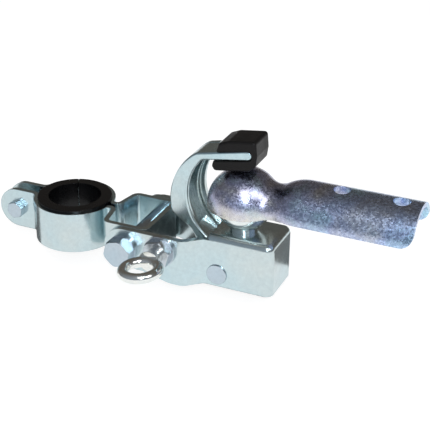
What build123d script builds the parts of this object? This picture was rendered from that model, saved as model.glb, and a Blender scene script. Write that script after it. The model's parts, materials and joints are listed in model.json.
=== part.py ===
from build123d import *
import os
from math import acos, asin, atan2, cos, degrees, hypot, radians, sin, sqrt

os.makedirs("parts", exist_ok=True)

# Ball hitch for a bicycle trailer, clamped to a seat post.
# Millimetres, +Z up along the seat post, +X from the post towards the trailer.
# Origin: axis of the seat-post bore, at half the height of the clamp band.

# Clamp band: one steel strip bent round the sleeve and out into a box for the pivot bolt
BAND_HEIGHT = 21.2
BAND_SHEET = 2.5
COLLAR_RADIUS = 19.75        # middle of the sheet round the sleeve
EAR_Y = 4.4                  # middle of each ear from the centre plane
EAR_BEND = 5.0
EAR_BOLT_X = -32.0
NECK_Y = 5.5                 # centre of the hairpin that leads into the box
NECK_BEND = 3.0
FLARE_LEAN = 10.0            # degrees off square
SIDE_Y = 16.85               # middle of each side plate
FRONT_WALL_X = 49.55         # middle of the wall that joins the side plates
BOX_BEND = 3.0
PIVOT_X = 39.24

# Reducer sleeve
SLEEVE_RADIUS = 18.45
POST_RADIUS = 13.6
SLEEVE_FLANGE_RADIUS = 19.3
SLEEVE_FLANGE = 1.3
SLEEVE_EDGE = 0.4            # rounding of the flange
SLEEVE_SLIT = 0.5
SLEEVE_SLIT_TURN = 114.0     # degrees from +X

# Fasteners: thread radius, width across flats, head and nut heights
PINCH_THREAD = 2.5
PINCH_FLATS = 8.0
PINCH_HEAD = 3.5
PINCH_HEAD_TURN = 20.0       # degrees
PINCH_NUT = 4.0
PIVOT_THREAD = 4.0
PIVOT_FLATS = 13.0
PIVOT_HEAD = 5.9
PIVOT_WASHER_RADIUS = 7.5
PIVOT_WASHER = 1.6
PIVOT_HEAD_TURN = 15.6       # degrees
PIVOT_NUT = 6.5
THREAD_TAIL = 2.0            # bolt left showing past its nut
HEX_CHAMFER = 0.05           # share of the width across flats
THREAD_CHAMFER = 0.7
BOLT_CLEARANCE = 0.05        # radial, bolt in a fixed hole
RUNNING_FIT = 0.06           # radial, pin in a hole that turns on it
HEAD_CLEARANCE = 0.05        # pivot washers off the turning legs

# Ball bracket: one pressing, two legs that close into a narrow box
BRACKET_SHEET = 3.0
LEG_INNER_Y = 18.36
LEG_TOP_Z = 10.5
LEG_END_RADIUS = 10.5
STEP_START_X = 71.0
STEP_END_X = 79.1
STEP_BEND = 5.5
BOX_HALF_WIDTH = 14.0
BOX_START_X = 82.0
BOX_END_X = 114.9
BOX_TOP_Z = 13.2
BOX_BOTTOM_Z = -13.9
BOX_CORNER = 4.0
BOX_BROW = 3.4
LEG_DROP_START_X = 50.0
LEG_DROP_END_X = 64.0
LEG_DROP_BEND = 14.0

# Eyebolt, screwed into the -Y leg and locked from outside
EYE_X = 59.8
EYE_Z = 3.4
EYE_TURN = 5.0               # degrees about its own shank
EYE_CENTRE_Y = -42.3
EYE_INNER_RADIUS = 5.9
EYE_WIRE = 2.65              # radius of the ring's round section
EYE_NECK = 5.4               # radius of the shank where it flares into the ring
EYE_NECK_LENGTH = 4.5
EYE_NUT_TURN = 15.0          # degrees
EYE_THREAD = 4.0
EYE_TIP_Y = -16.6
EYE_WASHER_RADIUS = 8.0
EYE_WASHER = 1.6
EYE_WASHER_PLAY = 0.2        # radial, washer on the shank
EYE_NUT = 4.3

# Ball and its stud
BALL_X = 94.64
BALL_Z = 27.45
BALL_RADIUS = 14.0
STUD_NECK_RADIUS = 6.7
STUD_THREAD = 6.0
STUD_WASHER_RADIUS = 10.0
STUD_WASHER = 1.5
STUD_FLATS = 19.0
STUD_NUT = 5.0
STUD_TAIL = 1.5

# Latch: a channel-section lever on a riveted pin, with a plastic cap on its arm
PIN_X = 86.55
PIN_Z = -7.3
PIN_RADIUS = 4.0
PIN_HEAD_RADIUS = 5.25
PIN_HEAD = 0.7
PIN_HEAD_EDGE = 0.3          # rounding of its rim
LEVER_HALF_WIDTH = 7.0
LEVER_SHEET = 2.3
LEVER_EDGE = 1.2             # outer radius of its long edges
LUG_SIDE_PLAY = 0.15
LEVER_BACK_CENTRE = (91.2, 24.6)
LEVER_BACK_RADIUS = 33.2
LEVER_BACK_SPAN = (125.5, 192.5)      # degrees, from the arm down to the heel
LEVER_BELLY_CENTRE = (94.1, 29.6)
LEVER_BELLY_RADIUS = 26.7
LEVER_BELLY_SPAN = (135.4, 243.05)
DOUBLER_BELLY_CENTRE = (96.1, 31.4)
DOUBLER_BELLY_RADIUS = 25.65
DOUBLER_BELLY_SPAN = (139.7, 225.2)
DOUBLER_TOP_X = 78.5
LEVER_SHIN = (69.7, 10.4)             # where the underside turns down to the pin
LUG_RADIUS = 6.5
ARM_TIP = (98.25, 54.7)
ARM_THICKNESS = 5.0
ARM_RISE = 10.6                       # degrees
WEB_END_RADIUS = 15.0                 # web stops this far from the pin
HEEL_BEND = 3.0
SHIN_BEND = 8.0
SHOULDER_BEND = 8.0
ARM_BEND = 4.0                        # where the arm's underside turns into the belly
CAP_SIDE_Y = 7.5              # its face on the eyebolt's side
CAP_BACK_Y = 9.2              # its face on the second plate's side
CAP_CORNER = 1.7             # rounding of the outline
CAP_EDGE = 1.3               # rounding along both sides
CAP_SLOT_PLAY = 0.05

# Return spring on the latch pin
SPRING_WIRE = 0.65                    # radius
SPRING_RADIUS = 5.2                   # middle of the wire
SPRING_PITCH = 1.6
SPRING_FULL_TURNS = 4
SPRING_LEG_ANGLE = 315.0              # where the leg to the bracket leaves the coil
SPRING_LEG = 26.5                     # its length, up to the underside of the box top
SPRING_HEEL_REACH = 14.2              # along the shin, from the pin to the tip of the other leg
SPRING_HEEL_OFF = 7.5                 # that tip from the pin, square to the shin

# Coupler head, pressed from sheet, and the liner between it and the ball
HEAD_SHEET = 2.5
DOME_RADIUS = 17.93
WAIST_RADIUS = 12.3
WAIST_BEND = 9.0
CHANNEL_RADIUS = 16.5
CHANNEL_BEND = 20.0
CHANNEL_END_X = 180.6
DOME_RIM_DROP = 1.6                   # rim below the ball's centre
CHANNEL_RIM_RISE = 1.3                # channel edge above the ball's centre
RIM_SLOPE = (11.5, 25.0)              # the rim climbs between these, from the ball along X
CHANNEL_CORNER = 6.0
RIM_MARGIN = 1.0                      # how far the rim's cut starts ahead of the dome
HEAD_HOLE_RADIUS = 4.1
HEAD_HOLE_X = (142.75, 170.9)
LINER_INNER_RADIUS = 14.15
LINER_OUTER_RADIUS = 15.2
LINER_RIM_DROP = 1.2

FAR = 100.0                           # larger than any part drawn with it


def save(node, *shapes):
    """Writes one node, as a single solid or as a group of separate solids."""
    solids = [solid for shape in shapes for solid in shape.solids()]
    shape = solids[0] if len(solids) == 1 else Compound(children=solids)
    shape.label = node
    export_step(shape, f"parts/{node}.step")


def side_plate(face, y_from, y_to):
    """Stands a face drawn in X and Z up as a plate between two values of Y."""
    return Pos(0, y_to, 0) * extrude(Plane.XZ * face, y_to - y_from, dir=(0, -1, 0))


def cross_bar(x, z, radius, y_from, y_to):
    """Round bar along Y."""
    return side_plate(Pos(x, z) * Circle(radius), y_from, y_to)


def hexagon(x, z, flats, y_from, y_to, turn=0):
    """Hexagon along Y with its corners eased at both ends, turned about its axis in degrees."""
    corner_radius = flats / cos(radians(30)) / 2
    plan = Pos(x, z) * Rot(0, 0, turn) * RegularPolygon(flats / 2, 6, major_radius=False)
    eased = cross_bar(x, z, corner_radius, y_from, y_to)
    eased = chamfer(eased.edges().filter_by(GeomType.CIRCLE), HEX_CHAMFER * flats)
    return side_plate(plan, y_from, y_to) & eased


def threaded_bar(x, z, radius, y_from, y_to):
    """Round bar along Y with a chamfered end at y_to."""
    bar = cross_bar(x, z, radius, y_from, y_to)
    return chamfer(bar.faces().sort_by(Axis.Y)[-1].edges(), THREAD_CHAMFER)


def nut(x, z, thread, flats, y_from, y_to, turn=0):
    """Hexagon nut along Y."""
    hole = cross_bar(x, z, thread + BOLT_CLEARANCE, y_from, y_to)
    return hexagon(x, z, flats, y_from, y_to, turn) - hole


def on_circle(centre, radius, angle):
    """Point of a circle at an angle in degrees."""
    return (centre[0] + radius * cos(radians(angle)), centre[1] + radius * sin(radians(angle)))


def arc(centre, radius, angle_from, angle_to):
    """Circular edge between two angles in degrees."""
    middle = (angle_from + angle_to) / 2
    points = [on_circle(centre, radius, angle) for angle in (angle_from, middle, angle_to)]
    return ThreePointArc(*points)


def angle_of(centre, point):
    """Direction from a centre to a point, in degrees."""
    return degrees(atan2(point[1] - centre[1], point[0] - centre[0]))


def tangent_point(centre, radius, point, side):
    """Where a line from a point touches a circle that stays on its left (1) or its right (-1)."""
    distance = hypot(centre[0] - point[0], centre[1] - point[1])
    heading = angle_of(point, centre) - side * degrees(asin(radius / distance))
    return on_circle(point, sqrt(distance**2 - radius**2), heading)


def beyond(start, end, gap):
    """Everything on the left of a line, at least a gap away from it."""
    band = Pos(0, gap + FAR) * Rectangle(4 * FAR, 2 * FAR)
    return Pos(*start) * Rot(0, 0, angle_of(start, end)) * band


def mirrored(shape):
    """The shape joined to its mirror image across the centre plane."""
    return shape + mirror(shape, about=Plane.XZ)


# ---------------------------------------------------------------- clamp band
ear_bend_x = -sqrt((COLLAR_RADIUS + EAR_BEND) ** 2 - (EAR_Y + EAR_BEND) ** 2)
ear_bend_centre = (ear_bend_x, -EAR_Y - EAR_BEND)
ear_turn = angle_of((0, 0), ear_bend_centre)
neck_x = sqrt((COLLAR_RADIUS + NECK_BEND) ** 2 - NECK_Y**2)
neck_centre = (neck_x, -NECK_Y)
neck_turn = angle_of((0, 0), neck_centre)
flare_start = on_circle(neck_centre, NECK_BEND, FLARE_LEAN)
flare_run = flare_start[1] + SIDE_Y
flare_corner = (flare_start[0] + flare_run * sin(radians(FLARE_LEAN)) / cos(radians(FLARE_LEAN)), -SIDE_Y)
collar_path = [
    Line((EAR_BOLT_X - BAND_HEIGHT / 2, -EAR_Y), (ear_bend_x, -EAR_Y)),
    arc(ear_bend_centre, EAR_BEND, 90, 180 + ear_turn),
    arc((0, 0), COLLAR_RADIUS, ear_turn, neck_turn),
    arc(neck_centre, NECK_BEND, 180 + neck_turn, FLARE_LEAN),
]
box_path = FilletPolyline(
    flare_start, flare_corner, (FRONT_WALL_X, -SIDE_Y), (FRONT_WALL_X, 0), radius=BOX_BEND
)
half_band = Curve() + collar_path + box_path
band_plan = Sketch() + [trace(edge, BAND_SHEET) for edge in half_band.edges()]
band = mirrored(extrude(band_plan, BAND_HEIGHT / 2, both=True))

ear_length = BAND_HEIGHT
ear_block = Pos(EAR_BOLT_X - ear_length / 2, 0) * Rectangle(ear_length, 2 * BAND_HEIGHT)
ear_waste = ear_block - Pos(EAR_BOLT_X, 0) * Circle(BAND_HEIGHT / 2)
band -= side_plate(ear_waste, -FAR, FAR)
band -= cross_bar(EAR_BOLT_X, 0, PINCH_THREAD + BOLT_CLEARANCE, -FAR, FAR)
band -= cross_bar(PIVOT_X, 0, PIVOT_THREAD + BOLT_CLEARANCE, -FAR, FAR)
save("clamp_strap", band)

# ------------------------------------------------------------ reducer sleeve
sleeve = extrude(Circle(SLEEVE_RADIUS), BAND_HEIGHT / 2, both=True)
sleeve += Pos(0, 0, BAND_HEIGHT / 2) * extrude(Circle(SLEEVE_FLANGE_RADIUS), SLEEVE_FLANGE)
sleeve = fillet(sleeve.edges().group_by(Axis.Z)[-1], SLEEVE_EDGE)
sleeve -= extrude(Circle(POST_RADIUS), FAR, both=True)
sleeve -= Rot(0, 0, SLEEVE_SLIT_TURN) * Pos(SLEEVE_RADIUS, 0, 0) * Box(2 * SLEEVE_RADIUS, SLEEVE_SLIT, FAR)
save("reducer_sleeve", sleeve)

# -------------------------------------------------------------- pinch bolt
ear_face = EAR_Y + BAND_SHEET / 2
pinch_nut_end = ear_face + PINCH_NUT
pinch_bolt = hexagon(EAR_BOLT_X, 0, PINCH_FLATS, -ear_face - PINCH_HEAD, -ear_face, PINCH_HEAD_TURN)
pinch_bolt += threaded_bar(EAR_BOLT_X, 0, PINCH_THREAD, -ear_face, pinch_nut_end + THREAD_TAIL)
save("pinch_bolt", pinch_bolt)
save("pinch_nut", nut(EAR_BOLT_X, 0, PINCH_THREAD, PINCH_FLATS, ear_face, pinch_nut_end))

# -------------------------------------------------------------- pivot bolt
leg_face = LEG_INNER_Y + BRACKET_SHEET
washer_inside = leg_face + HEAD_CLEARANCE
grip = washer_inside + PIVOT_WASHER
pivot_washer = cross_bar(PIVOT_X, 0, PIVOT_WASHER_RADIUS, -grip, -washer_inside)
pivot_washer -= cross_bar(PIVOT_X, 0, PIVOT_THREAD + BOLT_CLEARANCE, -grip, 0)
save("pivot_washers", pivot_washer, mirror(pivot_washer, about=Plane.XZ))
pivot_bolt = hexagon(PIVOT_X, 0, PIVOT_FLATS, -grip - PIVOT_HEAD, -grip, PIVOT_HEAD_TURN)
pivot_bolt += threaded_bar(PIVOT_X, 0, PIVOT_THREAD, -grip, grip + PIVOT_NUT + THREAD_TAIL)
save("pivot_bolt", pivot_bolt)
save("pivot_nut", nut(PIVOT_X, 0, PIVOT_THREAD, PIVOT_FLATS, grip, grip + PIVOT_NUT))


# ------------------------------------------------------------ ball bracket
def hood(x_to, half_width, z_to, corner, brow):
    """Block with rounded upright corners at its far end and a rounded top edge."""
    size = (x_to - BOX_START_X, 2 * half_width, z_to - BOX_BOTTOM_Z)
    block = Pos(BOX_START_X, 0, BOX_BOTTOM_Z) * Box(*size, align=(Align.MIN, Align.CENTER, Align.MIN))
    block = fillet(block.edges().filter_by(Axis.Z).group_by(Axis.X)[-1], corner)
    top_edges = block.faces().sort_by(Axis.Z)[-1].edges().sort_by(Axis.X)
    return fillet(top_edges[1:], brow)


leg_middle = LEG_INNER_Y + BRACKET_SHEET / 2
wall_middle = BOX_HALF_WIDTH - BRACKET_SHEET / 2
leg_path = FilletPolyline(
    (PIVOT_X - LEG_END_RADIUS, -leg_middle),
    (STEP_START_X, -leg_middle),
    (STEP_END_X, -wall_middle),
    (BOX_START_X + BRACKET_SHEET, -wall_middle),
    radius=STEP_BEND,
)
leg_plan = Sketch() + [trace(edge, BRACKET_SHEET) for edge in leg_path.edges()]
legs = mirrored(Pos(0, 0, BOX_BOTTOM_Z) * extrude(leg_plan, LEG_TOP_Z - BOX_BOTTOM_Z))
leg_outline = Polygon(
    (PIVOT_X - LEG_END_RADIUS, LEG_TOP_Z),
    (BOX_START_X + BRACKET_SHEET, LEG_TOP_Z),
    (BOX_START_X + BRACKET_SHEET, BOX_BOTTOM_Z),
    (LEG_DROP_END_X, BOX_BOTTOM_Z),
    (LEG_DROP_START_X, -LEG_TOP_Z),
    (PIVOT_X - LEG_END_RADIUS, -LEG_TOP_Z),
    align=None,
)
drop_corners = [v for v in leg_outline.vertices() if LEG_DROP_START_X <= v.X <= LEG_DROP_END_X]
leg_outline = fillet(drop_corners, LEG_DROP_BEND)
end_block = Pos(PIVOT_X - LEG_END_RADIUS / 2, 0) * Rectangle(LEG_END_RADIUS, 2 * LEG_TOP_Z)
leg_outline -= end_block - Pos(PIVOT_X, 0) * Circle(LEG_END_RADIUS)
legs &= side_plate(leg_outline, -FAR, FAR)

inner_hood = hood(
    BOX_END_X - BRACKET_SHEET,
    BOX_HALF_WIDTH - BRACKET_SHEET,
    BOX_TOP_Z - BRACKET_SHEET,
    BOX_CORNER - BRACKET_SHEET,
    BOX_BROW - BRACKET_SHEET,
)
bracket = legs + (hood(BOX_END_X, BOX_HALF_WIDTH, BOX_TOP_Z, BOX_CORNER, BOX_BROW) - inner_hood)
bracket -= cross_bar(PIVOT_X, 0, PIVOT_THREAD + RUNNING_FIT, -FAR, FAR)
bracket -= cross_bar(EYE_X, EYE_Z, EYE_THREAD + BOLT_CLEARANCE, -FAR, 0)
bracket -= cross_bar(PIN_X, PIN_Z, PIN_RADIUS + BOLT_CLEARANCE, -FAR, FAR)
stud_hole = Pos(BALL_X, 0, 0) * extrude(Circle(STUD_THREAD + BOLT_CLEARANCE), FAR)
bracket -= stud_hole
save("ball_bracket", bracket)

# ------------------------------------------------------------------ eyebolt
washer_face = -leg_face - EYE_WASHER
ring = Torus(EYE_INNER_RADIUS + EYE_WIRE, EYE_WIRE)
eyebolt = Pos(EYE_X, EYE_CENTRE_Y, EYE_Z) * Rot(0, -EYE_TURN, 0) * ring
ring_back_y = EYE_CENTRE_Y + EYE_INNER_RADIUS + EYE_WIRE
eyebolt += threaded_bar(EYE_X, EYE_Z, EYE_THREAD, ring_back_y, EYE_TIP_Y)
neck = Cone(EYE_NECK, EYE_THREAD, EYE_NECK_LENGTH, align=(Align.CENTER, Align.CENTER, Align.MIN))
eyebolt += Pos(EYE_X, ring_back_y, EYE_Z) * Rot(-90, 0, 0) * neck
eyebolt -= Pos(EYE_X, EYE_CENTRE_Y, EYE_Z) * Sphere(EYE_INNER_RADIUS)
save("eyebolt", eyebolt)
washer = cross_bar(EYE_X, EYE_Z, EYE_WASHER_RADIUS, washer_face, -leg_face)
washer -= cross_bar(EYE_X, EYE_Z, EYE_THREAD + EYE_WASHER_PLAY, -FAR, 0)
save("eyebolt_washer", washer)
eye_nut_face = washer_face - EYE_NUT
save("eyebolt_nut", nut(EYE_X, EYE_Z, EYE_THREAD, PIVOT_FLATS, eye_nut_face, washer_face, EYE_NUT_TURN))

# ----------------------------------------------------------- ball and stud
plate_underside = BOX_TOP_Z - BRACKET_SHEET
washer_underside = plate_underside - STUD_WASHER
nut_underside = washer_underside - STUD_NUT
stud_end = nut_underside - STUD_TAIL


def upright(radius, z_from, z_to):
    """Round bar along Z on the axis of the ball's stud."""
    return Pos(BALL_X, 0, z_from) * extrude(Circle(radius), z_to - z_from)


ball_stud = Pos(BALL_X, 0, BALL_Z) * Sphere(BALL_RADIUS)
ball_stud += upright(STUD_NECK_RADIUS, BOX_TOP_Z, BALL_Z)
ball_stud += upright(STUD_THREAD, stud_end, BALL_Z)
save("ball_stud", ball_stud)
stud_bore = upright(STUD_THREAD + BOLT_CLEARANCE, stud_end, BALL_Z)
save("stud_washer", upright(STUD_WASHER_RADIUS, washer_underside, plate_underside) - stud_bore)
stud_hexagon = Pos(BALL_X, 0) * RegularPolygon(STUD_FLATS / 2, 6, major_radius=False)
stud_nut = Pos(0, 0, nut_underside) * extrude(stud_hexagon, STUD_NUT)
save("stud_nut", stud_nut - stud_bore)

# ---------------------------------------------------------- latch and its pin
pin = (PIN_X, PIN_Z)
wall_inner = BOX_HALF_WIDTH - BRACKET_SHEET
latch_pin = cross_bar(PIN_X, PIN_Z, PIN_RADIUS, -BOX_HALF_WIDTH, BOX_HALF_WIDTH)
rivet_head = cross_bar(PIN_X, PIN_Z, PIN_HEAD_RADIUS, -BOX_HALF_WIDTH - PIN_HEAD, -BOX_HALF_WIDTH)
rivet_head = fillet(rivet_head.faces().sort_by(Axis.Y)[0].edges(), PIN_HEAD_EDGE)
latch_pin += mirrored(rivet_head)
save("latch_pin", latch_pin)

pin_bore = cross_bar(PIN_X, PIN_Z, PIN_RADIUS + RUNNING_FIT, -FAR, FAR)
doubler_outer = LEVER_HALF_WIDTH + LEVER_SHEET
narrow_spacer = cross_bar(PIN_X, PIN_Z, LUG_RADIUS, doubler_outer + LUG_SIDE_PLAY, wall_inner)
wide_spacer = cross_bar(PIN_X, PIN_Z, LUG_RADIUS, -wall_inner, -LEVER_HALF_WIDTH - LUG_SIDE_PLAY)
save("pin_spacers", wide_spacer - pin_bore, narrow_spacer - pin_bore)

arm_along = (cos(radians(ARM_RISE)), sin(radians(ARM_RISE)))
arm_up = (-arm_along[1], arm_along[0])
tip_top = (ARM_TIP[0] + arm_up[0] * ARM_THICKNESS / 2, ARM_TIP[1] + arm_up[1] * ARM_THICKNESS / 2)
tip_bottom = (ARM_TIP[0] - arm_up[0] * ARM_THICKNESS / 2, ARM_TIP[1] - arm_up[1] * ARM_THICKNESS / 2)
shoulder = on_circle(LEVER_BACK_CENTRE, LEVER_BACK_RADIUS, LEVER_BACK_SPAN[0])
heel = on_circle(LEVER_BACK_CENTRE, LEVER_BACK_RADIUS, LEVER_BACK_SPAN[1])
lug_left = tangent_point(pin, LUG_RADIUS, LEVER_SHIN, 1)


def lever_outline(belly_centre, belly_radius, belly_span, arm_end):
    """Side view of the lever; arm_end lists the edges from the belly's top round to the shoulder."""
    belly_low = on_circle(belly_centre, belly_radius, belly_span[1])
    lug_right = tangent_point(pin, LUG_RADIUS, belly_low, -1)
    edges = [
        arc(LEVER_BACK_CENTRE, LEVER_BACK_RADIUS, *LEVER_BACK_SPAN),
        Line(heel, LEVER_SHIN),
        Line(LEVER_SHIN, lug_left),
        arc(pin, LUG_RADIUS, angle_of(pin, lug_left), angle_of(pin, lug_right)),
        Line(lug_right, belly_low),
        arc(belly_centre, belly_radius, belly_span[1], belly_span[0]),
    ]
    outline = make_face(Curve() + edges + arm_end)
    for corner, bend in ((heel, HEEL_BEND), (LEVER_SHIN, SHIN_BEND), (shoulder, SHOULDER_BEND)):
        vertex = outline.vertices().sort_by_distance((corner[0], corner[1], 0))[0]
        outline = fillet(vertex, bend)
    return outline


belly_top = on_circle(LEVER_BELLY_CENTRE, LEVER_BELLY_RADIUS, LEVER_BELLY_SPAN[0])
arm_end = [
    Line(belly_top, tip_bottom),
    arc(ARM_TIP, ARM_THICKNESS / 2, ARM_RISE - 90, ARM_RISE + 90),
    Line(tip_top, shoulder),
]
yoke_outline = lever_outline(LEVER_BELLY_CENTRE, LEVER_BELLY_RADIUS, LEVER_BELLY_SPAN, arm_end)
arm_corner = yoke_outline.vertices().sort_by_distance((*belly_top, 0))[0]
yoke_outline = fillet(arm_corner, ARM_BEND)
channel = Pos(*LEVER_BACK_CENTRE) * Circle(LEVER_BACK_RADIUS - LEVER_SHEET)
channel &= beyond(tip_top, shoulder, LEVER_SHEET)
channel &= beyond(heel, LEVER_SHIN, LEVER_SHEET)
channel &= beyond(LEVER_SHIN, lug_left, LEVER_SHEET)
channel += Pos(*pin) * Circle(WEB_END_RADIUS)
flange_inner = LEVER_HALF_WIDTH - LEVER_SHEET
yoke = side_plate(yoke_outline, -LEVER_HALF_WIDTH, LEVER_HALF_WIDTH)
yoke_sides = yoke.faces().sort_by(Axis.Y)
yoke = fillet(yoke_sides[0].edges() + yoke_sides[-1].edges(), LEVER_EDGE)
yoke -= side_plate(channel, -flange_inner, flange_inner)
save("latch_yoke", yoke - pin_bore)

doubler_top = on_circle(DOUBLER_BELLY_CENTRE, DOUBLER_BELLY_RADIUS, DOUBLER_BELLY_SPAN[0])
top_slope = (tip_top[1] - shoulder[1]) / (tip_top[0] - shoulder[0])
doubler_peak = (DOUBLER_TOP_X, shoulder[1] + top_slope * (DOUBLER_TOP_X - shoulder[0]))
doubler_end = [Line(doubler_top, doubler_peak), Line(doubler_peak, shoulder)]
doubler_outline = lever_outline(
    DOUBLER_BELLY_CENTRE, DOUBLER_BELLY_RADIUS, DOUBLER_BELLY_SPAN, doubler_end
)
save("yoke_doubler", side_plate(doubler_outline, LEVER_HALF_WIDTH, doubler_outer) - pin_bore)

# --------------------------------------------------------------- latch cap
cap_outline = Polygon(
    (83.6, 58.5),
    (88.6, 60.6),
    (102.3, 62.5),
    (103.0, 55.0),
    (102.3, 49.8),
    (99.1, 46.9),
    (81.6, 44.3),
    (80.2, 46.6),
    align=None,
)
cap_outline = fillet(cap_outline.vertices(), CAP_CORNER)
slot = Pos(*ARM_TIP) * Circle(ARM_THICKNESS / 2 + CAP_SLOT_PLAY)
slot_length = 2 * (ARM_TIP[0] - doubler_top[0])
slot_bar = Pos(-slot_length / 2, 0) * Rectangle(slot_length, ARM_THICKNESS + 2 * CAP_SLOT_PLAY)
slot += Pos(*ARM_TIP) * Rot(0, 0, ARM_RISE) * slot_bar
cap = side_plate(cap_outline, -CAP_SIDE_Y, CAP_BACK_Y)
cap_sides = cap.faces().sort_by(Axis.Y)
cap = fillet(cap_sides[0].edges() + cap_sides[-1].edges(), CAP_EDGE)
save("latch_cap", cap - side_plate(slot, -FAR, FAR))

# ------------------------------------------------------------ latch spring
def rod(start, end, radius):
    """Round rod between two points."""
    run = Vector(*end) - Vector(*start)
    return extrude(Plane(start, z_dir=run) * Circle(radius), run.length)


shin_angle = angle_of(lug_left, LEVER_SHIN)
heel_tip = on_circle(on_circle(pin, SPRING_HEEL_OFF, shin_angle + 90), SPRING_HEEL_REACH, shin_angle)
tip_distance = hypot(SPRING_HEEL_OFF, SPRING_HEEL_REACH)
heel_angle = angle_of(pin, heel_tip) + degrees(acos(SPRING_RADIUS / tip_distance))
coil_turns = SPRING_FULL_TURNS + (SPRING_LEG_ANGLE - heel_angle % 360) / 360
half_coil = SPRING_PITCH * coil_turns / 2
coil_path = Helix(SPRING_PITCH, 2 * half_coil, SPRING_RADIUS, lefthand=True)
coil_section = Plane(coil_path @ 0, z_dir=coil_path % 0) * Circle(SPRING_WIRE)
coil = sweep(coil_section, path=coil_path, is_frenet=True)
coil = Pos(PIN_X, half_coil, PIN_Z) * Rot(90, 0, 0) * Rot(0, 0, SPRING_LEG_ANGLE) * coil
leg_joint = on_circle(pin, SPRING_RADIUS, SPRING_LEG_ANGLE)
leg_tip = on_circle(leg_joint, SPRING_LEG, SPRING_LEG_ANGLE - 270)
heel_joint = on_circle(pin, SPRING_RADIUS, heel_angle)
spring = coil
for y, joint, tip in ((half_coil, leg_joint, leg_tip), (-half_coil, heel_joint, heel_tip)):
    spring += Pos(joint[0], y, joint[1]) * Sphere(SPRING_WIRE)
    spring += rod((joint[0], y, joint[1]), (tip[0], y, tip[1]), SPRING_WIRE)
save("latch_spring", spring)

# --------------------------------------------------- coupler head and liner
def head_section(depth):
    """Half side view of the head, moved inwards by a depth; heights are from the ball's centre."""
    dome = DOME_RADIUS - depth
    waist = WAIST_BEND + depth
    crown = CHANNEL_BEND - depth
    waist_centre_z = WAIST_RADIUS + WAIST_BEND
    waist_centre = (sqrt((DOME_RADIUS + WAIST_BEND) ** 2 - waist_centre_z**2), waist_centre_z)
    crown_centre_z = CHANNEL_RADIUS - CHANNEL_BEND
    reach = sqrt((WAIST_BEND + CHANNEL_BEND) ** 2 - (waist_centre_z - crown_centre_z) ** 2)
    crown_centre = (waist_centre[0] + reach, crown_centre_z)
    channel_z = CHANNEL_RADIUS - depth
    end_x = CHANNEL_END_X - BALL_X
    dome_turn = angle_of((0, 0), waist_centre)
    crown_turn = angle_of(crown_centre, waist_centre)
    edges = [
        arc((0, 0), dome, 180, dome_turn),
        arc(waist_centre, waist, 180 + dome_turn, 360 + crown_turn - 180),
        arc(crown_centre, crown, crown_turn, 90),
        Line((crown_centre[0], channel_z), (end_x, channel_z)),
        Line((end_x, channel_z), (end_x, 0)),
        Line((end_x, 0), (-dome, 0)),
    ]
    return make_face(Curve() + edges)


ball_centre = Pos(BALL_X, 0, BALL_Z)
head = revolve(head_section(0), Axis.X) - revolve(head_section(HEAD_SHEET), Axis.X)
head = ball_centre * head
rim = Polygon(
    (BALL_X - DOME_RADIUS - RIM_MARGIN, BALL_Z - DOME_RIM_DROP),
    (BALL_X + RIM_SLOPE[0], BALL_Z - DOME_RIM_DROP),
    (BALL_X + RIM_SLOPE[1], BALL_Z + CHANNEL_RIM_RISE),
    (CHANNEL_END_X, BALL_Z + CHANNEL_RIM_RISE),
    (CHANNEL_END_X, BALL_Z + FAR),
    (BALL_X - DOME_RADIUS - RIM_MARGIN, BALL_Z + FAR),
    align=None,
)
end_corner = rim.vertices().sort_by_distance((CHANNEL_END_X, BALL_Z, 0))[0]
rim = fillet(end_corner, CHANNEL_CORNER)
head &= side_plate(rim, -FAR, FAR)
for hole_x in HEAD_HOLE_X:
    head -= Pos(hole_x, 0, BALL_Z) * extrude(Circle(HEAD_HOLE_RADIUS), FAR)
save("coupler_head", head)

liner = Sphere(LINER_OUTER_RADIUS) - Sphere(LINER_INNER_RADIUS)
below_rim = Pos(0, 0, -LINER_RIM_DROP - FAR / 2) * Box(FAR, FAR, FAR)
save("ball_seat_liner", ball_centre * (liner - below_rim))
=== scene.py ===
"""Looks of a bicycle trailer hitch: clamp, ball bracket, latch and coupler head."""
import json
import math

import bpy
from mathutils import Matrix, Vector


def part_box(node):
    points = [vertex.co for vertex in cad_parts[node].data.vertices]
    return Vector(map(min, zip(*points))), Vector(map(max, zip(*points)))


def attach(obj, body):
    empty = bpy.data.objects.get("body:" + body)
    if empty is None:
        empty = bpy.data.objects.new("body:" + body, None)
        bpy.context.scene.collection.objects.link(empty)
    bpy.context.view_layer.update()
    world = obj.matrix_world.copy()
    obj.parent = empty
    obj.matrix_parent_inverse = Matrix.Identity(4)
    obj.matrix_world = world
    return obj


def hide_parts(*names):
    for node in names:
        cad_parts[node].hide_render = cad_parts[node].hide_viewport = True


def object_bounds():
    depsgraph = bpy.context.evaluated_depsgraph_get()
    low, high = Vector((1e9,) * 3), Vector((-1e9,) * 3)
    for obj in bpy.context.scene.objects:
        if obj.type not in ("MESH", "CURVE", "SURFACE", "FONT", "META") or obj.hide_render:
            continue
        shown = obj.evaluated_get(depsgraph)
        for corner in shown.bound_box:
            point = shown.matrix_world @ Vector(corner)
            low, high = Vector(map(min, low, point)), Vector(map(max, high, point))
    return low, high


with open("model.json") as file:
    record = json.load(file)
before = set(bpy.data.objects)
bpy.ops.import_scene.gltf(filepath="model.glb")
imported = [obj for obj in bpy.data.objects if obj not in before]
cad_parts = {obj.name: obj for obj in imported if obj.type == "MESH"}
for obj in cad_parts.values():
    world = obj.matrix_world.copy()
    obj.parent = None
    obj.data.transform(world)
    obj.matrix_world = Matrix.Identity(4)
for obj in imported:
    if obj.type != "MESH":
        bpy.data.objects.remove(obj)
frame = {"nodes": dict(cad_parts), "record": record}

MM = 0.001
cad_low, cad_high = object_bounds()
scene = bpy.context.scene
scene.view_settings.view_transform = "Standard"

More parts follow.
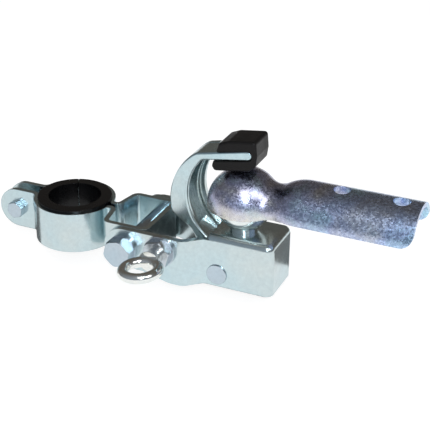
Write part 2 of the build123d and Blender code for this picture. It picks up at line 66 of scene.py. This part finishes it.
# Floor and the pale wall round it; the hitch hangs from its seat post a little above the floor
FLOOR_GAP = 12.0 * MM
FLOOR_RADIUS = 6.0
WALL_RADIUS = 5.9
WALL_HEIGHT = 4.0
RING_CORNERS = 96

# Coupler head: where the painted cream floor reflection on the lower rim lies, and where the channel's tint
# turns bluer with a painted cyan reflection, in metres
HEAD_RIM_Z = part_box("coupler_head")[0].z
# Height and reach of the painted cream reflection of the floor along the head's lower rim
RIM_REFLECTION_HEIGHT = 7.0 * MM
RIM_REFLECTION_X = (112.0 * MM, 132.0 * MM)
# Span over which the channel turns bluer and lighter: the coating's own tint plus a painted cyan reflection
# at its far end
AZURE_SHEEN_X = (118.0 * MM, 160.0 * MM)


# ------------------------------------------------------------------ materials
class Graph:
    """A small helper that adds and links the nodes of one material."""

    def __init__(self, name):
        self.material = bpy.data.materials.new(name)
        self.material.use_nodes = True
        self.tree = self.material.node_tree
        self.shader = self.tree.nodes["Principled BSDF"]
        self.coords = self.tree.nodes.new("ShaderNodeTexCoord").outputs["Object"]

    def node(self, kind, inputs=(), **settings):
        """Adds a node; an input is a number, a colour or another node's output."""
        made = self.tree.nodes.new(kind)
        for key, value in settings.items():
            setattr(made, key, value)
        for key, value in dict(inputs).items():
            self.feed(made.inputs[key], value)
        return made

    def feed(self, socket, value):
        if isinstance(value, bpy.types.NodeSocket):
            self.tree.links.new(value, socket)
        else:
            socket.default_value = value

    def stretched(self, scale):
        """Object coordinates in metres, multiplied by a scale for each axis."""
        return self.node("ShaderNodeMapping", {"Vector": self.coords, "Scale": scale}).outputs[0]

    def noise(self, scale, detail=4.0, rough=0.55, vector=None, distortion=0.0):
        inputs = {
            "Vector": vector or self.coords,
            "Scale": scale,
            "Detail": detail,
            "Roughness": rough,
            "Distortion": distortion,
        }
        return self.node("ShaderNodeTexNoise", inputs).outputs["Fac"]

    def ramp(self, value, *stops):
        """Colour ramp through (position, colour) stops."""
        made = self.node("ShaderNodeValToRGB", {"Fac": value})
        elements = made.color_ramp.elements
        while len(elements) < len(stops):
            elements.new(0.5)
        for element, (position, colour) in zip(elements, stops):
            element.position = position
            element.color = (*colour, 1.0)
        return made.outputs["Color"]

    def span(self, value, low, high, start=0.0, end=1.0):
        """Maps a value from start..end to low..high, clamped."""
        inputs = {"Value": value, "From Min": start, "From Max": end, "To Min": low, "To Max": high}
        return self.node("ShaderNodeMapRange", inputs).outputs["Result"]

    def mix(self, factor, first, second, blend="MIX"):
        made = self.node("ShaderNodeMix", data_type="RGBA", blend_type=blend)
        self.feed(made.inputs[0], factor)
        self.feed(made.inputs[6], first if isinstance(first, bpy.types.NodeSocket) else (*first, 1.0))
        self.feed(made.inputs[7], second if isinstance(second, bpy.types.NodeSocket) else (*second, 1.0))
        return made.outputs[2]

    def bump(self, height, strength, distance, normal=None):
        inputs = {"Height": height, "Strength": strength, "Distance": distance}
        made = self.node("ShaderNodeBump", inputs)
        if normal is not None:
            self.feed(made.inputs["Normal"], normal)
        return made.outputs["Normal"]

    def rounded(self, radius):
        """Normals that round every sharp edge by a radius."""
        return self.node("ShaderNodeBevel", {"Radius": radius}, samples=4).outputs["Normal"]

    def surface(self, **sockets):
        for key, value in sockets.items():
            self.feed(self.shader.inputs[key.replace("_", " ")], value)
        return self.material


def zinc(name, cool, warm, rough, grain, edge=0.35):
    """Bright zinc plating: cool and warm patches, faint rolling lines, fine handling marks."""
    g = Graph(name)
    patches = g.noise(26.0, 3.0, distortion=0.4)
    mottle = g.noise(520.0, 4.0, 0.6)
    tint = g.mix(g.span(patches, 0.0, 1.0, 0.32, 0.68), cool, warm)
    cloud = g.ramp(mottle, (0.3, (0.90, 0.91, 0.92)), (0.7, (1.0, 1.0, 1.0)))
    colour = g.mix(1.0, tint, cloud, "MULTIPLY")
    rolling = g.noise(1.0, 3.0, vector=g.stretched((50.0, 50.0, 2600.0)))
    marks = g.noise(1500.0, 3.0)
    roughness = g.span(g.noise(150.0, 4.0, 0.6), rough - 0.03, rough + 0.06, 0.35, 0.65)
    normal = g.rounded(edge * MM)
    normal = g.bump(rolling, 0.05 * grain, 0.00005, normal)
    normal = g.bump(marks, 0.04 * grain, 0.00004, normal)
    normal = g.bump(g.noise(75.0, 2.0), 0.10 * grain, 0.0004, normal)
    return g.surface(Base_Color=colour, Metallic=1.0, Roughness=roughness, Normal=normal)


def passivated(name):
    """Mottled passivated zinc: violet on the dome, bluer and lighter along the channel with a painted cyan
    reflection, spangled, with a painted cream reflection of the floor on the lower rim.
    """
    g = Graph(name)
    clouds = g.noise(52.0, 3.0, 0.55, distortion=0.5)
    violet = g.ramp(
        clouds,
        (0.30, (0.42, 0.52, 0.62)),
        (0.44, (0.46, 0.48, 0.66)),
        (0.56, (0.50, 0.49, 0.58)),
        (0.66, (0.56, 0.55, 0.54)),
        (0.76, (0.44, 0.54, 0.62)),
    )
    # Blue tint of the channel, lighter and cyan towards its end: partly the coating's own tint, partly a
    # painted reflection
    azure_and_sheen = g.ramp(
        clouds,
        (0.30, (0.42, 0.66, 0.80)),
        (0.48, (0.46, 0.56, 0.80)),
        (0.64, (0.54, 0.58, 0.68)),
        (0.76, (0.46, 0.68, 0.80)),
    )
    place = g.node("ShaderNodeSeparateXYZ", {"Vector": g.coords})
    along = g.span(place.outputs["X"], 0.0, 1.0, *AZURE_SHEEN_X)
    hue = g.mix(along, violet, azure_and_sheen)
    cells = g.node("ShaderNodeTexVoronoi", {"Vector": g.coords, "Scale": 1500.0}).outputs["Color"]
    spark = g.node("ShaderNodeSeparateColor", {"Color": cells}).outputs["Red"]
    speckle = g.ramp(spark, (0.1, (0.60, 0.60, 0.66)), (0.75, (0.94, 0.94, 0.95)), (0.95, (1.3, 1.3, 1.3)))
    mottled = g.mix(0.8, hue, speckle, "MULTIPLY")
    # Painted reflection: a cream band of the floor mirrored along the lower rim, broken up by noise
    rim_height = g.span(place.outputs["Z"], 1.0, 0.0, HEAD_RIM_Z, HEAD_RIM_Z + RIM_REFLECTION_HEIGHT)
    rim_reach = g.span(place.outputs["X"], 1.0, 0.0, *RIM_REFLECTION_X)
    reflection_breakup = g.span(g.noise(160.0, 4.0, 0.6), 0.55, 1.0, 0.4, 0.6)
    rim_reflection = g.node("ShaderNodeMath", {0: rim_height, 1: rim_reach}, operation="MULTIPLY").outputs[0]
    rim_reflection = g.node("ShaderNodeMath", {0: rim_reflection, 1: reflection_breakup}, operation="MULTIPLY").outputs[0]
    # Cream of the painted rim reflection, laid over the mottled zinc
    colour = g.mix(rim_reflection, mottled, (0.74, 0.72, 0.64))
    roughness = g.span(spark, 0.20, 0.36)
    normal = g.rounded(0.4 * MM)
    normal = g.bump(spark, 0.22, 0.00008, normal)
    normal = g.bump(g.noise(300.0, 3.0), 0.14, 0.0002, normal)
    return g.surface(Base_Color=colour, Metallic=1.0, Roughness=roughness, Normal=normal)


def black_plastic(name, colour, rough, grain_scale, grain, coat=0.0, shine=0.5):
    """Moulded black plastic with a fine grain and slightly uneven gloss."""
    g = Graph(name)
    grain_noise = g.noise(grain_scale, 4.0, 0.6)
    haze = g.noise(120.0, 3.0)
    dust = g.ramp(g.noise(2600.0, 2.0), (0.66, colour), (0.78, tuple(4.0 * c for c in colour)))
    roughness = g.span(haze, rough - 0.06, rough + 0.08, 0.35, 0.65)
    normal = g.bump(grain_noise, grain, 0.00008, g.rounded(0.4 * MM))
    g.surface(Base_Color=dust, Roughness=roughness, Normal=normal)
    return g.surface(Coat_Weight=coat, Coat_Roughness=0.12, Specular_IOR_Level=shine)


ZINC_SHEET = zinc("zinc_sheet", (0.49, 0.63, 0.67), (0.57, 0.64, 0.64), 0.20, 1.0)
ZINC_FASTENER = zinc("zinc_fastener", (0.44, 0.54, 0.61), (0.54, 0.57, 0.60), 0.18, 0.6, 0.3)
BRIGHT_ZINC = zinc("bright_zinc", (0.72, 0.79, 0.80), (0.80, 0.79, 0.75), 0.15, 0.8)
SPRING_STEEL = zinc("spring_steel", (0.42, 0.43, 0.46), (0.50, 0.48, 0.45), 0.32, 0.5, 0.1)
PASSIVATED = passivated("passivated_sheet")
SLEEVE_BLACK = black_plastic("sleeve_plastic", (0.003, 0.003, 0.0035), 0.24, 900.0, 0.15, 0.1, 0.2)
CAP_BLACK = black_plastic("cap_plastic", (0.012, 0.011, 0.011), 0.34, 1500.0, 0.6, shine=0.10)
LINER_WHITE = black_plastic("liner_plastic", (0.62, 0.62, 0.58), 0.45, 900.0, 0.2)

NODE_MATERIALS = {
    ZINC_SHEET: ("clamp_strap", "ball_bracket", "latch_yoke", "yoke_doubler"),
    ZINC_FASTENER: (
        "pinch_bolt", "pinch_nut", "pivot_bolt", "pivot_nut", "pivot_washers", "eyebolt_washer",
        "eyebolt_nut", "stud_washer", "stud_nut", "latch_pin", "pin_spacers",
    ),
    BRIGHT_ZINC: ("eyebolt", "ball_stud"),
    SPRING_STEEL: ("latch_spring",),
    PASSIVATED: ("coupler_head",),
    SLEEVE_BLACK: ("reducer_sleeve",),
    CAP_BLACK: ("latch_cap",),
    LINER_WHITE: ("ball_seat_liner",),
}
for material, names in NODE_MATERIALS.items():
    for name in names:
        mesh = frame["nodes"][name].data
        mesh.materials.clear()
        mesh.materials.append(material)


# ------------------------------------------------------------- return spring
# The coil and its long leg stay on the bracket. The short leg rests on the lever and turns with it,
# so it is a piece of its own, whose first stretch of coil slides along the fixed coil as it winds.
COIL_RADIUS = 5.2 * MM
COIL_PITCH = 1.6 * MM
WIRE_RADIUS = 0.65 * MM
LONG_LEG_ANGLE = 315.0
LONG_LEG = 26.5 * MM
SHORT_LEG_ANGLE = 217.1
SHORT_LEG = 15.2 * MM
LAST_ANGLE = 4 * 360.0 + LONG_LEG_ANGLE
WOUND_STRETCH = 22.0
COIL_STEP = 10.0
WOUND_STEPS = 4


def latch_pin_centre():
    """Point on the latch's hinge axis, in metres."""
    joints = frame["record"]["behaviour"]["joints"]
    latch = next(joint for joint in joints if joint["name"] == "latch_open")
    return Vector(latch["pos_m"])


def coil_point(angle):
    """Point of the coil's centre line; the angle runs on past 360 from the short leg to the long one."""
    middle_angle = (SHORT_LEG_ANGLE + LAST_ANGLE) / 2
    turn = math.radians(angle)
    y = COIL_PITCH * (angle - middle_angle) / 360.0
    return latch_pin_centre() + Vector((COIL_RADIUS * math.cos(turn), y, COIL_RADIUS * math.sin(turn)))


def leg_tip(angle, heading, length):
    """End of a straight leg that leaves the coil at an angle."""
    turn = math.radians(heading)
    return coil_point(angle) + length * Vector((math.cos(turn), 0.0, math.sin(turn)))


def wire_piece(name, points, body):
    """Round wire along points, as a mesh that rides on a body and stands for the CAD spring."""
    curve = bpy.data.curves.new(name, "CURVE")
    curve.dimensions = "3D"
    curve.bevel_depth = WIRE_RADIUS
    curve.bevel_resolution = 5
    curve.use_fill_caps = True
    spline = curve.splines.new("POLY")
    spline.points.add(len(points) - 1)
    for control, point in zip(spline.points, points):
        control.co = (*point, 1.0)
    drawn = bpy.data.objects.new(name + "_curve", curve)
    scene.collection.objects.link(drawn)
    mesh = bpy.data.meshes.new_from_object(drawn)
    bpy.data.objects.remove(drawn)
    mesh.materials.clear()
    mesh.materials.append(SPRING_STEEL)
    mesh.shade_smooth()
    piece = bpy.data.objects.new(name, mesh)
    scene.collection.objects.link(piece)
    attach(piece, body)
    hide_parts("latch_spring")


def return_spring():
    """Torsion spring on the latch pin, in the stretch that is still and the one that moves."""
    wound_angle = SHORT_LEG_ANGLE + WOUND_STRETCH
    count = round((LAST_ANGLE - wound_angle) / COIL_STEP)
    coil = [coil_point(wound_angle + (LAST_ANGLE - wound_angle) * i / count) for i in range(count + 1)]
    long_tip = leg_tip(LAST_ANGLE, LONG_LEG_ANGLE - 270.0, LONG_LEG)
    wire_piece("latch_spring_coil", coil + [long_tip], "bracket")
    short_tip = leg_tip(SHORT_LEG_ANGLE, SHORT_LEG_ANGLE - 90.0, SHORT_LEG)
    wound = [coil_point(SHORT_LEG_ANGLE + WOUND_STRETCH * i / WOUND_STEPS) for i in range(WOUND_STEPS + 1)]
    wire_piece("latch_spring_short_leg", [short_tip] + wound, "latch")


return_spring()


# --------------------------------------------------------- floor, light, camera
def staged(name, points, faces, base, glow):
    """Mesh that isn't part of the object, in a grey that also glows white."""
    mesh = bpy.data.meshes.new(name)
    mesh.from_pydata(points, [], faces)
    sheet = bpy.data.objects.new(name, mesh)
    scene.collection.objects.link(sheet)
    g = Graph(name)
    g.surface(Base_Color=(base, base, base, 1.0), Roughness=0.9, Emission_Color=(1.0, 1.0, 1.0, 1.0))
    mesh.materials.append(g.surface(Emission_Strength=glow))
    return sheet


def ring_points(radius, height):
    """Corners of a level circle, in metres."""
    turns = [2 * math.pi * i / RING_CORNERS for i in range(RING_CORNERS)]
    return [(radius * math.cos(turn), radius * math.sin(turn), height) for turn in turns]


def plain_floor(height):
    """Pale round floor, most of whose brightness is its own."""
    staged("floor", ring_points(FLOOR_RADIUS, height), [tuple(range(RING_CORNERS))], 0.35, 0.90)


def pale_backdrop(height):
    """Pale wall round the floor's edge for low views; it lights and mirrors in nothing."""
    points = ring_points(WALL_RADIUS, height) + ring_points(WALL_RADIUS, height + WALL_HEIGHT)
    faces = []
    for i in range(RING_CORNERS):
        following = (i + 1) % RING_CORNERS
        faces.append((i, following, RING_CORNERS + following, RING_CORNERS + i))
    wall = staged("backdrop", points, faces, 0.0, 1.0)
    wall.visible_diffuse = False
    wall.visible_glossy = False
    wall.visible_transmission = False
    wall.visible_shadow = False


def shade_card(name, height, x_span, y_span, glow):
    """Dim card, in millimetres, that the metal mirrors in place of the floor; the camera doesn't see it."""
    (x_low, x_high), (y_low, y_high) = x_span, y_span
    corners = [(x_low, y_low), (x_high, y_low), (x_high, y_high), (x_low, y_high)]
    points = [(x * MM, y * MM, height * MM) for x, y in corners]
    card = staged(name, points, [(0, 1, 2, 3)], 0.02, glow)
    card.visible_camera = False
    card.visible_shadow = False


def softbox(name, offset, target, width, height, radiance, colour=(1.0, 1.0, 1.0)):
    """Rectangular light at an offset from its target, which it faces."""
    lamp = bpy.data.lights.new(name, "AREA")
    lamp.shape = "RECTANGLE"
    lamp.size = width
    lamp.size_y = height
    lamp.energy = radiance * math.pi * width * height
    lamp.color = colour
    holder = bpy.data.objects.new(name, lamp)
    holder.location = target + Vector(offset)
    holder.rotation_euler = (-Vector(offset)).to_track_quat("-Z", "Y").to_euler()
    scene.collection.objects.link(holder)


def studio_world():
    """Dim room: darker behind and above, paler in front."""
    world = bpy.data.worlds.new("studio")
    world.use_nodes = True
    scene.world = world
    tree = world.node_tree
    back = tree.nodes["Background"]
    direction = tree.nodes.new("ShaderNodeTexCoord").outputs["Generated"]
    split = tree.nodes.new("ShaderNodeSeparateXYZ")
    tree.links.new(direction, split.inputs[0])
    ramp = tree.nodes.new("ShaderNodeValToRGB")
    span = tree.nodes.new("ShaderNodeMapRange")
    span.inputs["From Min"].default_value = 1.0
    span.inputs["From Max"].default_value = -1.0
    tree.links.new(split.outputs["Y"], span.inputs["Value"])
    tree.links.new(span.outputs["Result"], ramp.inputs["Fac"])
    stops = ramp.color_ramp.elements
    stops[0].position, stops[0].color = 0.30, (0.130, 0.118, 0.104, 1.0)
    stops[1].position, stops[1].color = 0.95, (0.30, 0.34, 0.39, 1.0)
    tree.links.new(ramp.outputs["Color"], back.inputs["Color"])
    back.inputs["Strength"].default_value = 1.0


def photo_camera():
    """Camera at the photograph's viewing angle: direction round the object, distance and lens."""
    azimuth, elevation, roll = math.radians(23.74), math.radians(27.81), math.radians(0.55)
    distance = 0.5376
    aim = Vector((0.080, 0.0, 0.010))
    back = Vector(
        (
            math.sin(azimuth) * math.cos(elevation),
            -math.cos(azimuth) * math.cos(elevation),
            math.sin(elevation),
        )
    )
    data = bpy.data.cameras.new("camera")
    data.sensor_width = 36.0
    data.lens = 91.56
    data.shift_x = -0.0030
    data.shift_y = 0.0305
    data.clip_start = 0.01
    camera = bpy.data.objects.new("camera", data)
    camera.location = aim + distance * back
    right = Vector((math.cos(azimuth), math.sin(azimuth), 0.0))
    up = back.cross(right)
    tilted_right = math.cos(roll) * right + math.sin(roll) * up
    tilted_up = math.cos(roll) * up - math.sin(roll) * right
    axes = (tilted_right, tilted_up, back)
    camera.rotation_mode = "QUATERNION"
    camera.rotation_quaternion = Matrix([[axis[i] for axis in axes] for i in range(3)]).to_quaternion()
    scene.collection.objects.link(camera)
    scene.camera = camera


centre = (cad_low + cad_high) / 2
plain_floor(cad_low.z - FLOOR_GAP)
pale_backdrop(cad_low.z - FLOOR_GAP)
studio_world()
photo_camera()
softbox("key_front", (0.30, -0.69, 0.93), centre, 0.50, 0.45, 4.0)
softbox("key_side", (0.82, -0.34, 0.84), centre, 0.50, 0.45, 4.0)
softbox("flash", (0.26, -0.50, 0.36), centre, 0.10, 0.08, 34.0, (0.80, 0.92, 1.0))
softbox("fill_card", (0.52, -0.92, 0.41), centre, 0.24, 0.20, 2.5)
shade_card("shade_bracket", -15.5, (51.0, 112.0), (-16.0, 16.0), 0.05)
shade_card("shade_left", -20.0, (-160.0, -14.0), (-16.0, 70.0), 0.15)
shade_card("shade_behind", -20.0, (116.0, 190.0), (30.0, 90.0), 0.20)
